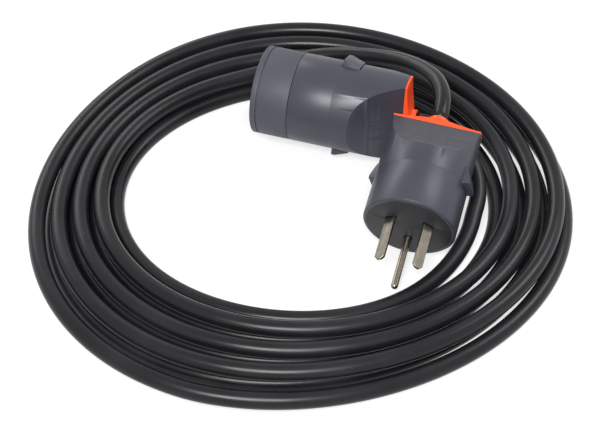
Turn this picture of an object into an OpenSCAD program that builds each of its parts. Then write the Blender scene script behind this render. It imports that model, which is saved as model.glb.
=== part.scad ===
// Shore power cord: three-core cable wound in a free coil, with a three-pin plug and a
// screw-ring connector. Millimetres, +Z up, origin under the middle of the whole cord.

/* [Cable] */
// Outside diameter of the cable jacket
cable_d = 10.6; // [9.6:0.1:11.2]
// Diameter of one insulated core
core_d = 3.6; // [3:0.1:4]
// Distance from the cable's axis to each core's axis
core_ring = 2.5; // [2.4:0.1:2.8]

/* [Coil] */
// Mean radius of the opening, to the centre of the innermost turn
inner_r = 104.2; // [100:0.1:108]
// Amount by which the opening is wider across than from front to back
inner_oval = 6; // [4:0.1:8]
// Shift of the opening's edge towards the front
inner_front = 4.8; // [3:0.1:6]
// Shift of the opening's edge to the right
inner_right = 1.1; // [0:0.1:2]
// Slight three-sided shape of the opening
inner_three = 1.2; // [0:0.1:2]
// Shift of the outer turns to the right
outer_right = 1.6; // [1:0.1:2]
// Shift of the outer turns to the front
outer_front = 8.3; // [8:0.1:8.6]
// Amount by which the outside is wider across than from front to back
outer_oval = 1.2; // [1:0.1:1.5]
// Amount by which the outside is longer from the front left to the back right
outer_slant = 4.2; // [4:0.1:4.5]
// Slight three-sided shape of the outside
outer_three = 3.3; // [3:0.1:3.4]
// Direction of one of that shape's three corners
outer_corner = -15; // [-17:1:-13]
// Turns in the bottom layer, which runs outwards
turns_low = 4.25; // [4.125:0.125:4.25]
// Mean space between neighbouring turns of the bottom layer
turn_gap = 3.52; // [3.5:0.02:3.7]
// Turns in the top layer, which runs back inwards
turns_top = 3.375; // [3.25:0.125:3.375]
// How far out the top layer ends, as a share of the way to the outermost turn
top_end = 0.206; // [0.2:0.002:0.21]
// Direction in which the cable enters the coil
coil_start = -20; // [-30:1:-15]
// Space between the two layers of the coil
layer_gap = 0.5; // [0.4:0.1:1.5]
// Height of the coil's first point above the bottom layer
start_rise = 7; // [5:0.5:9]
// Part of a turn in which the cable comes down to the bottom layer
settle = 0.12; // [0.1:0.01:0.16]

/* [Body] */
// Outside diameter of the plug and of the connector
body_d = 57; // [56:0.5:58]
// Wall of the moulded housings
wall = 2.4; // [2.2:0.1:2.8]
// Length of the plug's front sleeve
plug_sleeve_l = 29.5; // [28:0.5:32]
// Length of the connector's middle sleeve
con_sleeve_l = 27; // [25:0.5:29]
// Length of the rear shell
tail_l = 43.5; // [43:0.5:46]
// Distance from the seam to the start of the finger scoop
scoop_start = 12.8; // [12.8:0.1:14]
// Thickness of the shell's flat end
tail_t = 15.2; // [15:0.1:16.5]
// Wall of the shell under a finger scoop
scoop_wall = 1.3; // [1.2:0.05:1.4]
// Exponent of the scoop's profile: below 1 it is hollowed
scoop_power = 0.65; // [0.6:0.01:0.7]
// Chamfer at the plug's front edge
edge_chamfer = 0.8; // [0.4:0.1:1.2]

/* [Grip ribs] */
// Length of a grip rib
rib_l = 9; // [6:0.5:10]
// Width of a grip rib
rib_w = 0.8; // [0.6:0.1:1]
// Height of a grip rib above the scoop
rib_h = 0.45; // [0.3:0.05:0.6]
// Distance of the outer ribs from the middle
rib_outer = 10.1; // [8:0.1:12]
// Spacing of the three middle ribs
rib_pitch = 2.7; // [2:0.1:3.5]
// Distance from the scoop's start to the ribs
rib_from = 12; // [10:0.5:14]

/* [End cap] */
// Height of the cap's flat rim
cap_rim = 1.2; // [0.8:0.1:1.6]
// Height of the cap's cone
cap_cone = 3.2; // [2.6:0.1:4]
// Length of the collar round the cable
cap_collar_l = 2.8; // [2:0.1:4]
// Wall of the collar round the cable
collar_wall = 1.3; // [1:0.1:1.6]
// Depth of the cap's two tongues inside the shell
cap_tongue = 4; // [3:0.5:5]

/* [Catches] */
// Width of a snap catch
catch_w = 14; // [12:0.5:15]
// Length of a snap catch
catch_l = 11.5; // [10:0.5:12]
// Height of a snap catch above the housing
catch_h = 3.4; // [2.6:0.1:3.6]
// Length of the flat top of a snap catch
catch_flat = 2.6; // [2:0.1:4]
// Inward travel of a snap catch
catch_travel = 1.6; // [1.2:0.1:1.8]
// Angle between the catches and the narrow edges of the shell
catch_turn = 17; // [14:1:20]
// Thickness of the catch's foot
catch_foot = 1.6; // [1.2:0.1:2]

/* [Pins] */
// Distance between the two flat blades
blade_pitch = 22.6; // [21.5:0.1:23.5]
// Height of the blades above the plug's axis
blade_up = 6; // [4:0.1:7]
// Distance of the round pin below the plug's axis
ground_down = 12.5; // [12:0.1:13.5]
// Angle of each blade to the line through both
blade_turn = 34; // [30:1:45]
// Width of a blade
blade_w = 6.5; // [6:0.1:7]
// Thickness of a blade
blade_t = 1.8; // [1.5:0.1:2]
// Length of a blade in front of the plug
blade_out = 30; // [28:0.5:31]
// Diameter of the round pin
ground_d = 4.4; // [4.2:0.1:4.8]
// Length of the round pin in front of the plug
ground_out = 36.5; // [34:0.5:37]
// Chamfer at a blade's tip
tip_chamfer = 1.8; // [1:0.1:2.4]
// Angle between the pins and the narrow edges of the shell
pin_turn = 0; // [-4:1:4]

/* [Inserts] */
// Thickness of the plug's insert
plug_insert_l = 12; // [10:0.5:13]
// Depth of the connector's mouth
mouth_l = 12; // [11:0.5:14]
// Thickness of the solid front of the socket
socket_front = 5.6; // [5:0.1:7]
// Length of the socket contacts
contact_l = 20; // [17:0.5:20.5]
// Clearance of a pin in its socket
socket_gap = 0.2; // [0.15:0.05:0.3]
// Width of the ledge that an insert rests on
ledge_w = 1.8; // [1.4:0.1:2.2]
// Length of a terminal block
block_l = 7; // [6:0.5:8]
// Width of a terminal block
block_w = 7.4; // [7:0.1:8]

/* [Locking ring] */
// Length of the locking ring
ring_l = 24.4; // [23:0.1:25]
// Wall of the locking ring
ring_wall = 3.2; // [2.9:0.1:3.4]
// Running clearance of the locking ring
ring_gap = 0.4; // [0.3:0.05:0.5]
// Distance from the ring's front to its groove
groove_from = 4.5; // [3.5:0.1:6]
// Width of the ring's groove
groove_w = 0.9; // [0.6:0.1:1.2]
// Depth of the ring's groove
groove_t = 0.9; // [0.5:0.1:1.2]
// Height of the bead that keeps the ring on
bead_h = 0.9; // [0.7:0.1:1]
// Length of the bead
bead_l = 3; // [2.4:0.1:4]
// Distance from the ring's rear to the bead
bead_from = 8; // [6:0.5:10]
// Distance of the nose's edge behind the ring's front
nose_back = 4.2; // [3:0.1:5]

/* [Cord grip] */
// Length of the cord grip
grip_l = 8; // [7:0.5:9]
// Distance from the seam to the cord grip
grip_from = 22; // [21:0.5:23]
// Thickness of the cord grip above the cable
grip_t = 3.6; // [3:0.1:4]
// Gap between the halves of the cord grip
grip_split = 1.6; // [1.2:0.1:2]
// Distance between the cord grip's screws
grip_screws = 30; // [28:1:32]
// Diameter of a screw
screw_d = 3; // [2.6:0.1:3.2]
// Diameter of a screw's head
screw_head_d = 5.4; // [5:0.1:5.8]
// Height of a screw's head
screw_head_h = 2; // [1.6:0.1:2.2]
// Distance from the seam to the end of the cable's jacket
jacket_end = 18; // [16:0.5:19]

/* [Clearances] */
// Clearance between fixed pieces that fit into each other
fit_gap = 0.15; // [0.1:0.05:0.2]
// Clearance beside a catch
slot_gap = 0.3; // [0.25:0.05:0.4]

/* [Placement] */
// Height of the connector's lowest point above the ground
rest_gap = 0.3; // [0.3:0.1:1]

/* [Hidden] */

$fn = 96;
eps = 0.01;
small_fn = 32;

grey = "#545664";
light_grey = "#5c5e6c";
dark = "#3b3b3f";
orange = "#ff5a20";
black = "#2b2b2e";
nickel = "#b9b4aa";
brass = "#b08d4a";
steel = "#9a9ca0";

// Length by which a cutting shape passes the face that it cuts
over = 1;
// Length by which a pin or contact enters its terminal block
root = 1;
foot_margin = 2;
tongue_gap = 1;
spigot_l = 5;
spigot_t = 2;
ledge_l = 3;
contact_edge = 0.7;
contact_wall = 1.6;
ground_contact_wall = 1.2;
screw_depth = 3;
// Material left under the tip of a grip screw
screw_floor = 2;
// Straight run of a core at each of its ends, and the steps of its bend
core_run = 3.5;
core_steps = 6;
// Sides of the tubes
coil_sides = 6;
lead_sides = 10;
core_sides = 8;
// Points of the scoop's outline, which lie closer together at its start, and its reach past the shell
scoop_points = 14;
scoop_crowding = 1.6;
scoop_past = 10;
// Points of the round pin's tip, and their spacing in degrees
tip_points = 5;
tip_step = 15;

body_r = body_d / 2;
inner_wall_r = body_r - wall;
cable_r = cable_d / 2;
core_r = core_d / 2;
scoop_l = tail_l - scoop_start;
scoop_depth = body_r - tail_t / 2;
throat = body_r - scoop(scoop_l + scoop_wall) - scoop_wall;
cap_h = cap_rim + cap_cone + cap_collar_l;
exit_z = -(tail_l + cap_h);
collar_r = cable_r + fit_gap + collar_wall;

catch_side = catch_w / 2;
catch_top = body_r + catch_h;
foot_side = catch_side + foot_margin;
foot_top = sqrt(pow(inner_wall_r - slot_gap, 2) - pow(foot_side, 2));
foot_bottom = foot_top - catch_foot;
slot_side = catch_side + slot_gap;
slot_l = catch_l + 2 * slot_gap;

nose_r = body_r - ring_wall - ring_gap;
nose_bore_r = nose_r - wall;
ring_front = con_sleeve_l + ring_l + ring_gap;
nose_front = ring_front - nose_back;
socket_top = ring_front - mouth_l;
socket_seat = socket_top - socket_front - contact_l;

plug_seat = plug_sleeve_l - plug_insert_l;
blade_x = blade_pitch / 2;
contact_side = blade_w + 2 * contact_edge;
contact_thick = blade_t + 2 * contact_wall;
ground_contact_r = ground_d / 2 + socket_gap + ground_contact_wall;
screw_r = screw_d / 2;
bore_r = screw_r + fit_gap;
head_r = screw_head_d / 2;

// Placement of the two ends beside the coil's inner turns
con_heading = 162.5;
con_roll = 7.5;
con_axis_h = rest_gap + catch_low();
con_at = [23.5, 62, con_axis_h];
plug_at = [71.1, -16.5, 34.3];
plug_tilt = 12;
plug_heading = 254.1;
plug_roll = 87;
con_dir = turn_z([-1, 0, 0], con_heading);
plug_dir = turn_z([-cos(plug_tilt), 0, sin(plug_tilt)], plug_heading);

// Lowest reach of the connector's lower catch below the connector's axis
function catch_low() = max([for (x = [-catch_side, catch_side])
    catch_top * cos(con_roll + catch_turn) + x * sin(con_roll + catch_turn)]);

function turn_z(v, a) = [v[0] * cos(a) - v[1] * sin(a), v[0] * sin(a) + v[1] * cos(a), v[2]];
function unit(v) = v / norm(v);
function smooth(x) = x <= 0 ? 0 : x >= 1 ? 1 : x * x * (3 - 2 * x);

// Depth of the finger scoop at a distance behind its start
function scoop(s) = s <= 0 ? 0 : scoop_depth * pow(s / scoop_l, scoop_power);

// Coil: radius of the opening's edge and of the outermost turn by direction
function r_in(a) = inner_r + inner_oval * cos(2 * a) - inner_front * sin(a)
    + inner_right * cos(a) - inner_three * cos(3 * a);
outer_r = inner_r + turns_low * (cable_d + turn_gap);
function r_out(a) = outer_r + outer_oval * cos(2 * a) + outer_slant * sin(2 * a)
    + outer_right * cos(a) - outer_front * sin(a) + outer_three * cos(3 * (a - outer_corner));
turns = turns_low + turns_top;
per_turn = 24;
coil_steps = round(turns * per_turn);
coil_z = 0.4 * cable_d;
climb = 0.5;
// Sideways shift that puts the whole cord's middle over the origin
coil_shift = [-2, 9.5];
layer_rise = cable_d + layer_gap;
function spread(t) = t <= turns_low ? t / turns_low
    : 1 - (1 - top_end) * (t - turns_low) / turns_top;
function coil_r(t, a) = r_in(a) + spread(t) * (r_out(a) - r_in(a));
function coil_h(t) = coil_z + (t < settle ? start_rise * pow(1 - t / settle, 2) : 0)
    + layer_rise * smooth((t - turns_low + climb / 2) / climb);
function coil_point(t) = let (a = coil_start - 360 * t)
    [coil_r(t, a) * cos(a) + coil_shift[0], coil_r(t, a) * sin(a) + coil_shift[1], coil_h(t)];
coil_turned = [for (i = [0 : coil_steps]) coil_point(i / per_turn)];
lead_turn = cable_d / (2 * PI * inner_r);
coil_out_dir = unit(coil_point(turns) - coil_point(turns - 0.01));
coil_first = coil_point(-lead_turn);
coil_last = coil_turned[coil_steps] + cable_d * coil_out_dir;
coil_path = concat([coil_first], coil_turned, [coil_last]);

// Least distance between the surfaces of turns that lie beside or over each other
function seg_gap(p, a, b) = let (ab = b - a, k = max(0, min(1, (p - a) * ab / (ab * ab))))
    norm(p - a - k * ab);
function coil_gap() = min([for (i = [0 : coil_steps]) for (j = [i + 12 : coil_steps - 1])
    seg_gap(coil_turned[i], coil_turned[j], coil_turned[j + 1])]) - cable_d;

// Routes of the two free leads, from the cap to the coil
con_exit = con_at - exit_z * con_dir;
plug_exit = plug_at - exit_z * plug_dir;
lead_in_dir = unit(coil_turned[0] - coil_first);
con_lead_path = concat([con_exit, con_exit + cable_r * con_dir],
    [[89, 39, 30.5], [99.7, 29, 26.4], [106.5, 16.2, 21.6], [108.7, 5.8, 18.2]],
    [coil_first - cable_d * lead_in_dir, coil_first]);
plug_lead_path = concat([plug_exit, plug_exit + cable_r * plug_dir],
    [[88.2, 54.5, 47.7], [85.8, 68.5, 46.6], [78.7, 82.6, 43.5], [67.8, 95.5, 39.5], [54.3, 105.5, 35],
    [38.3, 113.5, 30.5], [20.4, 119.5, 26], [1.3, 120.9, 22.2], [-14.2, 118.4, 18.4]],
    [coil_last + cable_d * coil_out_dir, coil_last]);

function path_length(p) = len(p) < 2 ? 0
    : [for (i = 1, s = norm(p[1] - p[0]); i < len(p);
        s = s + (i < len(p) - 1 ? norm(p[i + 1] - p[i]) : 0), i = i + 1) s][len(p) - 2];

// Tube along a path, with rings square to it and no point under the ground
function ring_dir(p, i) = i == 0 ? unit(p[1] - p[0])
    : i == len(p) - 1 ? unit(p[i] - p[i - 1])
    : unit(unit(p[i + 1] - p[i]) + unit(p[i] - p[i - 1]));
function ring_points(c, dir, r, sides, up) = let (n = unit(cross(dir, up)), b = cross(n, dir))
    [for (k = [0 : sides - 1]) c + r * (cos(360 * k / sides) * n + sin(360 * k / sides) * b)];
function tube_points(p, r, sides, up, low) = [for (i = [0 : len(p) - 1])
    for (q = ring_points(p[i], ring_dir(p, i), r, sides, up)) [q[0], q[1], max(q[2], low)]];
function tube_faces(rings, sides) = concat(
    [for (i = [0 : rings - 2]) for (k = [0 : sides - 1]) let (m = (k + 1) % sides)
        [i * sides + k, i * sides + m, (i + 1) * sides + k]],
    [for (i = [0 : rings - 2]) for (k = [0 : sides - 1]) let (m = (k + 1) % sides)
        [i * sides + m, (i + 1) * sides + m, (i + 1) * sides + k]],
    [for (k = [1 : sides - 2]) [0, k + 1, k]],
    [for (k = [1 : sides - 2]) let (e = (rings - 1) * sides) [e, e + k, e + k + 1]]);

module tube(p, r, sides, up, low) {
    polyhedron(points = tube_points(p, r, sides, up, low), faces = tube_faces(len(p), sides));
}

module at_plug() {
    translate(plug_at)
        rotate([0, 90 + plug_tilt, plug_heading])
            rotate([0, 0, plug_roll])
                children();
}

module at_con() {
    translate(con_at)
        rotate([0, 90, con_heading])
            rotate([0, 0, con_roll])
                children();
}

// Strip of material over the scoop's curve, across x, from s0 to s1 behind its start
module scoop_strip(s0, s1, under, over, width, steps) {
    ds = (s1 - s0) / steps;
    low = [for (i = [0 : steps]) let (s = s0 + i * ds)
        [-(scoop_start + s), body_r - scoop(s) + under]];
    top = [for (i = [steps : -1 : 0]) let (s = s0 + i * ds)
        [-(scoop_start + s), body_r - scoop(s) + over]];
    rotate([0, -90, 0])
        linear_extrude(height = width, center = true)
            polygon(concat(low, top));
}

// Everything outside the scooped tail, for both sides; offset inwards by a wall
module scoop_cuts(inset) {
    far = scoop_l + scoop_past;
    pts = [for (i = [0 : scoop_points]) let (s = far * pow(i / scoop_points, scoop_crowding))
        [-(scoop_start + s - inset), body_r - scoop(s) - inset]];
    for (m = [0, 1])
        mirror([0, m, 0])
            rotate([0, -90, 0])
                linear_extrude(height = 3 * body_r, center = true)
                    polygon(concat(pts, [[pts[scoop_points][0], body_d], [pts[0][0], body_d]]));
}

module around_catches() {
    for (a = [catch_turn, catch_turn + 180])
        rotate([0, 0, a])
            children();
}

module shell_solid() {
    difference() {
        translate([0, 0, -tail_l])
            cylinder(r = body_r, h = tail_l);
        scoop_cuts(0);
        difference() {
            translate([0, 0, -tail_l - over])
                cylinder(r = inner_wall_r, h = tail_l + 2 * over);
            scoop_cuts(scoop_wall);
        }
        around_catches()
            translate([foot_bottom, -slot_side, -slot_l])
                cube([catch_top, 2 * slot_side, slot_l + over]);
    }
    for (m = [0, 1])
        mirror([0, m, 0])
            for (x = [-rib_outer, -rib_pitch, 0, rib_pitch, rib_outer])
                translate([x, 0, 0])
                    scoop_strip(rib_from, rib_from + rib_l, -scoop_wall / 2, rib_h, rib_w, 4);
}

module end_section(r, half) {
    intersection() {
        circle(r = r);
        square([3 * body_r, 2 * half], center = true);
    }
}

module cap_solid() {
    difference() {
        union() {
            translate([0, 0, -tail_l - eps])
                linear_extrude(height = cap_tongue + eps)
                    difference() {
                        end_section(inner_wall_r - fit_gap, throat - 2 * fit_gap);
                        square([2 * (cable_r + tongue_gap), body_d], center = true);
                    }
            translate([0, 0, -tail_l - cap_rim])
                linear_extrude(height = cap_rim)
                    end_section(body_r, tail_t / 2);
            intersection() {
                translate([0, 0, -tail_l - cap_rim - cap_cone])
                    cylinder(r1 = collar_r, r2 = body_r, h = cap_cone + eps);
                translate([0, 0, -tail_l - cap_rim - cap_cone])
                    linear_extrude(height = cap_cone + eps)
                        end_section(body_r, tail_t / 2);
            }
            translate([0, 0, exit_z])
                cylinder(r = collar_r, h = cap_collar_l + cap_cone);
        }
        translate([0, 0, exit_z - over])
            cylinder(r = cable_r + fit_gap, h = cap_h + cap_tongue + 2 * over);
    }
}

module catch_solid() {
    translate([0, catch_side, 0])
        rotate([90, 0, 0])
            linear_extrude(height = catch_w)
                polygon([[foot_bottom, -slot_gap], [catch_top, -slot_gap],
                    [catch_top, -slot_gap - catch_flat], [body_r + slot_gap, -catch_l],
                    [foot_bottom, -catch_l]]);
    translate([foot_bottom, -foot_side, -slot_l - foot_margin])
        cube([catch_foot, 2 * foot_side, slot_l + foot_margin - slot_gap]);
}

module spigot() {
    difference() {
        translate([0, 0, -spigot_l])
            cylinder(r = inner_wall_r - fit_gap, h = spigot_l + eps);
        translate([0, 0, -spigot_l - over])
            cylinder(r = inner_wall_r - fit_gap - spigot_t, h = spigot_l + 2 * over);
        around_catches()
            translate([foot_bottom - catch_travel - over, -foot_side - slot_gap, -spigot_l - over])
                cube([body_r, 2 * (foot_side + slot_gap), spigot_l + over + slot_gap]);
    }
}

// Places of the flat blades and of the round pin
module at_blade(side) {
    rotate([0, 0, pin_turn])
        translate([side * blade_x, blade_up, 0])
            rotate([0, 0, -side * blade_turn])
                children();
}

module at_ground() {
    rotate([0, 0, pin_turn])
        translate([0, -ground_down, 0])
            children();
}

module blade_solid(seat, tip) {
    difference() {
        union() {
            translate([0, blade_t / 2, 0])
                rotate([90, 0, 0])
                    linear_extrude(height = blade_t)
                        polygon([[-blade_w / 2, seat - root], [blade_w / 2, seat - root],
                            [blade_w / 2, tip - tip_chamfer], [blade_w / 2 - tip_chamfer, tip],
                            [tip_chamfer - blade_w / 2, tip], [-blade_w / 2, tip - tip_chamfer]]);
            terminal_block(seat);
        }
        terminal_bore(seat);
    }
}

module terminal_block(seat) {
    translate([-block_w / 2, -block_w / 2, seat - block_l])
        cube([block_w, block_w, block_l]);
}

module terminal_bore(seat) {
    translate([0, block_w / 2 + over, seat - block_l / 2])
        rotate([90, 0, 0])
            cylinder(r = bore_r, h = screw_depth + over + fit_gap, $fn = small_fn);
}

module terminal_screw(seat) {
    translate([0, block_w / 2, seat - block_l / 2])
        rotate([90, 0, 0])
            cylinder(r = screw_r, h = screw_depth, $fn = small_fn);
    translate([0, block_w / 2 + screw_head_h, seat - block_l / 2])
        rotate([90, 0, 0])
            cylinder(r = head_r, h = screw_head_h, $fn = small_fn);
}

module at_terminals() {
    for (side = [-1, 1])
        at_blade(side)
            children();
    at_ground()
        rotate([0, 0, 180])
            children();
}

module terminal_screws(seat) {
    at_terminals()
        terminal_screw(seat);
}

// Room for the terminal screws in what goes round them
module terminal_room(seat) {
    at_terminals()
        translate([0, block_w / 2 + screw_head_h + fit_gap, seat - block_l / 2])
            rotate([90, 0, 0])
                cylinder(r = head_r + fit_gap, h = screw_head_h + fit_gap, $fn = small_fn);
}

// Cord grip: two saddles across the shell, drawn together by two screws
grip_half = cable_r + grip_t;
module grip_body(side) {
    intersection() {
        difference() {
            translate([-body_r, side > 0 ? grip_split / 2 : -grip_half, -grip_from - grip_l])
                cube([2 * body_r, grip_half - grip_split / 2, grip_l]);
            translate([0, 0, -grip_from - grip_l - over])
                cylinder(r = cable_r + fit_gap / 3, h = grip_l + 2 * over);
            for (x = [-grip_screws / 2, grip_screws / 2])
                translate([x, 0, -grip_from - grip_l / 2])
                    rotate([90, 0, 0])
                        cylinder(r = bore_r, h = side > 0 ? 3 * body_r : 2 * (grip_half - screw_floor),
                            center = true, $fn = small_fn);
        }
        translate([0, 0, -grip_from - grip_l - over])
            cylinder(r = inner_wall_r - fit_gap, h = grip_l + 2 * over);
    }
}

module grip_screws_solid() {
    for (x = [-grip_screws / 2, grip_screws / 2])
        translate([x, grip_half, -grip_from - grip_l / 2])
            rotate([90, 0, 0]) {
                cylinder(r = screw_r, h = 2 * grip_half - screw_floor - fit_gap, $fn = small_fn);
                translate([0, 0, -screw_head_h])
                    cylinder(r = head_r, h = screw_head_h, $fn = small_fn);
            }
}

module jacket_solid() {
    translate([0, 0, exit_z])
        cylinder(r = cable_r, h = -exit_z - jacket_end);
}

// One insulated core from the jacket's end to the rear of its terminal block
function core_from(a) = [core_ring * cos(a), core_ring * sin(a), -jacket_end];
function pin_place(x, y) = [x * cos(pin_turn) - y * sin(pin_turn),
    x * sin(pin_turn) + y * cos(pin_turn)];
function core_path(a, q, rear) = let (p = core_from(a),
    z0 = p[2] + core_run, z1 = rear - core_run)
    concat([p], [for (i = [0 : core_steps]) let (k = i / core_steps, w = smooth(k))
        [p[0] + w * (q[0] - p[0]), p[1] + w * (q[1] - p[1]), z0 + k * (z1 - z0)]],
        [[q[0], q[1], rear]]);

module core_solid(a, q, rear) {
    tube(core_path(a, q, rear), core_r, core_sides, [0, 1, 0.01], -2 * tail_l);
}

left_pin = pin_place(-blade_x, blade_up);
right_pin = pin_place(blade_x, blade_up);
ground_pin = pin_place(0, -ground_down);
core_left_a = 160;
core_right_a = 40;
core_ground_a = 280;

// ---- plug ----
module plug_sleeve() {
    color(grey) at_plug() {
        difference() {
            union() {
                cylinder(r = body_r, h = plug_sleeve_l - edge_chamfer);
                translate([0, 0, plug_sleeve_l - edge_chamfer])
                    cylinder(r1 = body_r, r2 = body_r - edge_chamfer, h = edge_chamfer);
            }
            translate([0, 0, plug_seat])
                cylinder(r = inner_wall_r, h = plug_insert_l + over);
            translate([0, 0, plug_seat - ledge_l])
                cylinder(r = inner_wall_r - ledge_w, h = ledge_l + over);
            translate([0, 0, -over])
                cylinder(r = inner_wall_r - spigot_t, h = plug_seat - ledge_l + over + eps);
            terminal_room(plug_seat);
        }
        spigot();
    }
}

module plug_face() {
    color(dark) at_plug() difference() {
        translate([0, 0, plug_seat])
            cylinder(r = inner_wall_r - fit_gap, h = plug_insert_l);
        for (side = [-1, 1])
            at_blade(side)
                translate([-blade_w / 2 - fit_gap, -blade_t / 2 - fit_gap, plug_seat - over])
                    cube([blade_w + 2 * fit_gap, blade_t + 2 * fit_gap, plug_insert_l + 2 * over]);
        at_ground()
            translate([0, 0, plug_seat - over])
                cylinder(r = ground_d / 2 + fit_gap, h = plug_insert_l + 2 * over, $fn = small_fn);
    }
}

module plug_blade_left() {
    color(nickel) at_plug() at_blade(-1) blade_solid(plug_seat, plug_sleeve_l + blade_out);
}

module plug_blade_right() {
    color(nickel) at_plug() at_blade(1) blade_solid(plug_seat, plug_sleeve_l + blade_out);
}

module plug_ground_pin() {
    r = ground_d / 2;
    tip = plug_sleeve_l + ground_out;
    color(nickel) at_plug() at_ground() {
        rotate_extrude($fn = small_fn)
            polygon(concat([[0, plug_seat - root], [r, plug_seat - root]],
                [for (i = [0 : tip_points]) [r * cos(tip_step * i), tip - r * (1 - sin(tip_step * i))]],
                [[0, tip - r * (1 - sin(tip_step * tip_points))]]));
        rotate([0, 0, 180])
            difference() {
                terminal_block(plug_seat);
                terminal_bore(plug_seat);
            }
    }
}

module plug_shell() { color(grey) at_plug() shell_solid(); }
module plug_cap() { color(orange) at_plug() cap_solid(); }
module plug_catch_a() { color(grey) at_plug() rotate([0, 0, catch_turn]) catch_solid(); }
module plug_catch_b() { color(grey) at_plug() rotate([0, 0, catch_turn + 180]) catch_solid(); }
module plug_grip_lower() { color(black) at_plug() grip_body(-1); }
module plug_grip_upper() { color(black) at_plug() grip_body(1); }
module plug_grip_screws() { color(steel) at_plug() grip_screws_solid(); }
module plug_terminal_screws() { color(brass) at_plug() terminal_screws(plug_seat); }
module plug_jacket() { color(black) at_plug() jacket_solid(); }
module plug_core_left() {
    color("black") at_plug() core_solid(core_left_a, left_pin, plug_seat - block_l);
}
module plug_core_right() {
    color("white") at_plug() core_solid(core_right_a, right_pin, plug_seat - block_l);
}
module plug_core_ground() {
    color("green") at_plug() core_solid(core_ground_a, ground_pin, plug_seat - block_l);
}

// ---- connector ----
module socket_sleeve() {
    color(grey) at_con() {
        difference() {
            union() {
                cylinder(r = body_r, h = con_sleeve_l);
                cylinder(r = nose_r, h = nose_front);
                translate([0, 0, con_sleeve_l + bead_from])
                    cylinder(r = nose_r + bead_h, h = bead_l);
            }
            translate([0, 0, socket_seat])
                cylinder(r = nose_bore_r, h = ring_front);
            translate([0, 0, socket_seat - ledge_l])
                cylinder(r = nose_bore_r - ledge_w, h = ledge_l + 1);
            translate([0, 0, -over])
                cylinder(r = nose_bore_r, h = socket_seat - ledge_l + 1);
            terminal_room(socket_seat);
        }
        spigot();
    }
}

module locking_ring() {
    bead_z = con_sleeve_l + bead_from;
    color(light_grey) at_con() difference() {
        translate([0, 0, con_sleeve_l + ring_gap])
            cylinder(r = body_r, h = ring_l);
        translate([0, 0, con_sleeve_l])
            cylinder(r = body_r - ring_wall, h = ring_l + 2 * over);
        translate([0, 0, bead_z - ring_gap])
            cylinder(r = nose_r + bead_h + ring_gap, h = bead_l + 2 * ring_gap);
        difference() {
            translate([0, 0, ring_front - groove_from])
                cylinder(r = body_r + over, h = groove_w);
            translate([0, 0, ring_front - groove_from - over])
                cylinder(r = body_r - groove_t, h = groove_w + 2 * over);
        }
    }
}

module socket_face() {
    color(dark) at_con() difference() {
        translate([0, 0, socket_seat])
            cylinder(r = nose_bore_r - fit_gap, h = socket_top - socket_seat);
        for (side = [-1, 1])
            at_blade(side) {
                translate([-blade_w / 2 - socket_gap, -blade_t / 2 - socket_gap, socket_seat])
                    cube([blade_w + 2 * socket_gap, blade_t + 2 * socket_gap, ring_front]);
                translate([-contact_side / 2 - fit_gap, -contact_thick / 2 - fit_gap,
                    socket_seat - root])
                    cube([contact_side + 2 * fit_gap, contact_thick + 2 * fit_gap,
                        contact_l + root]);
            }
        at_ground() {
            translate([0, 0, socket_seat + root])
                cylinder(r = ground_d / 2 + socket_gap, h = ring_front, $fn = small_fn);
            translate([0, 0, socket_seat - root])
                cylinder(r = ground_contact_r + fit_gap, h = contact_l + root, $fn = small_fn);
        }
    }
}

module contact_solid() {
    difference() {
        union() {
            translate([-contact_side / 2, -contact_thick / 2, socket_seat - root])
                cube([contact_side, contact_thick, contact_l + root - fit_gap]);
            terminal_block(socket_seat);
        }
        translate([-blade_w / 2 - socket_gap / 2, -blade_t / 2 - socket_gap / 2, socket_seat + root])
            cube([blade_w + socket_gap, blade_t + socket_gap, contact_l]);
        terminal_bore(socket_seat);
    }
}

module socket_contact_left() { color(brass) at_con() at_blade(-1) contact_solid(); }
module socket_contact_right() { color(brass) at_con() at_blade(1) contact_solid(); }

module socket_contact_ground() {
    color(brass) at_con() at_ground() rotate([0, 0, 180]) difference() {
        union() {
            translate([0, 0, socket_seat - root])
                cylinder(r = ground_contact_r, h = contact_l + root - fit_gap, $fn = small_fn);
            terminal_block(socket_seat);
        }
        translate([0, 0, socket_seat + root])
            cylinder(r = ground_d / 2 + socket_gap, h = contact_l, $fn = small_fn);
        terminal_bore(socket_seat);
    }
}

module socket_shell() { color(grey) at_con() shell_solid(); }
module socket_cap() { color(orange) at_con() cap_solid(); }
module socket_catch_a() { color(grey) at_con() rotate([0, 0, catch_turn]) catch_solid(); }
module socket_catch_b() { color(grey) at_con() rotate([0, 0, catch_turn + 180]) catch_solid(); }
module socket_grip_lower() { color(black) at_con() grip_body(-1); }
module socket_grip_upper() { color(black) at_con() grip_body(1); }
module socket_grip_screws() { color(steel) at_con() grip_screws_solid(); }
module socket_terminal_screws() { color(brass) at_con() terminal_screws(socket_seat); }
module socket_jacket() { color(black) at_con() jacket_solid(); }
module socket_core_left() {
    color("black") at_con() core_solid(core_left_a, left_pin, socket_seat - block_l);
}
module socket_core_right() {
    color("white") at_con() core_solid(core_right_a, right_pin, socket_seat - block_l);
}
module socket_core_ground() {
    color("green") at_con() core_solid(core_ground_a, ground_pin, socket_seat - block_l);
}

// ---- cord ----
module cord_coil() {
    echo(least_gap_between_turns = coil_gap());
    echo(cord_length = path_length(coil_path) + path_length(con_lead_path)
        + path_length(plug_lead_path));
    color(black) tube(coil_path, cable_r, coil_sides, [0, 0, 1], 0);
}
module cord_plug_lead() { color(black) tube(plug_lead_path, cable_r, lead_sides, [0, 0, 1], 0); }
module cord_socket_lead() { color(black) tube(con_lead_path, cable_r, lead_sides, [0, 0, 1], 0); }

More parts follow.
